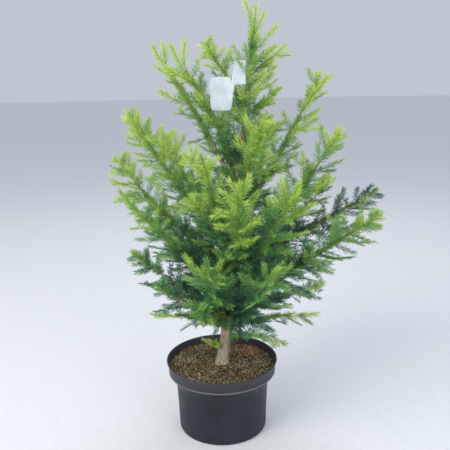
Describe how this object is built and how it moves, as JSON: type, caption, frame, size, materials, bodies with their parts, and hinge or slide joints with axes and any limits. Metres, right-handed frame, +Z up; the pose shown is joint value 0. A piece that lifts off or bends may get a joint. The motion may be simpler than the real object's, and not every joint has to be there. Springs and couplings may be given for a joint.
{
  "type": "potted yew sapling",
  "caption": "Young upright evergreen conifer with a single leaning leader and tiers of feathery needled boughs, standing in a round black pot of compost.",
  "frame": {"origin": "middle of the pot's flat underside", "axes": "+Z up along the pot's axis; -Y is the plant's front; the leader leans towards +X"},
  "size_m": [0.6669, 0.5482, 1.049],
  "materials": {
    "pot_plastic": "black moulded polypropylene, dusty and scuffed",
    "compost": "moist bark and peat compost with grit and a little moss",
    "bark": "thin grey-brown bark, finely ridged",
    "foliage": "flat yew needles, yellow-green at the tips and dark green inside",
    "label_plastic": "thin white polypropylene sheet, blank"
  },
  "bodies": {
    "root": {"pot": "pot_plastic", "root_ball": "compost", "trunk": "bark", "plant_label": "label_plastic", "back_left_bough": "bark", "back_left_upper_bough": "bark", "back_middle_bough": "bark", "back_right_bough": "bark", "back_right_upper_bough": "bark", "front_left_bough": "bark", "front_low_right_bough": "bark", "front_middle_bough": "bark", "front_right_bough": "bark", "left_middle_bough": "bark", "left_outer_bough": "bark", "left_plume_bough": "bark", "right_far_bough": "bark", "right_inner_bough": "bark", "right_low_bough": "bark", "right_middle_bough": "bark", "right_outer_bough": "bark", "right_upper_bough": "bark", "upper_left_bough": "bark", "back_left": "foliage", "back_left_upper": "foliage", "back_low": "foliage", "back_low_right": "foliage", "back_middle": "foliage", "back_right": "foliage", "back_right_upper": "foliage", "back_upper": "foliage", "foot_left": "foliage", "foot_right": "foliage", "front_left": "foliage", "front_low": "foliage", "front_low_right": "foliage", "front_middle": "foliage", "front_right": "foliage", "front_upper": "foliage", "leader": "foliage", "leader_right": "foliage", "leader_side": "foliage", "left_drooping": "foliage", "left_low": "foliage", "left_low_front": "foliage", "left_middle": "foliage", "left_outer": "foliage", "left_plume": "foliage", "right_drooping": "foliage", "right_far": "foliage", "right_inner": "foliage", "right_low": "foliage", "right_middle": "foliage", "right_outer": "foliage", "right_upper": "foliage", "rim_right": "foliage", "top_right": "foliage", "upper_centre": "foliage", "upper_left": "foliage", "upper_left_inner": "foliage"}
  },
  "joints": []
}
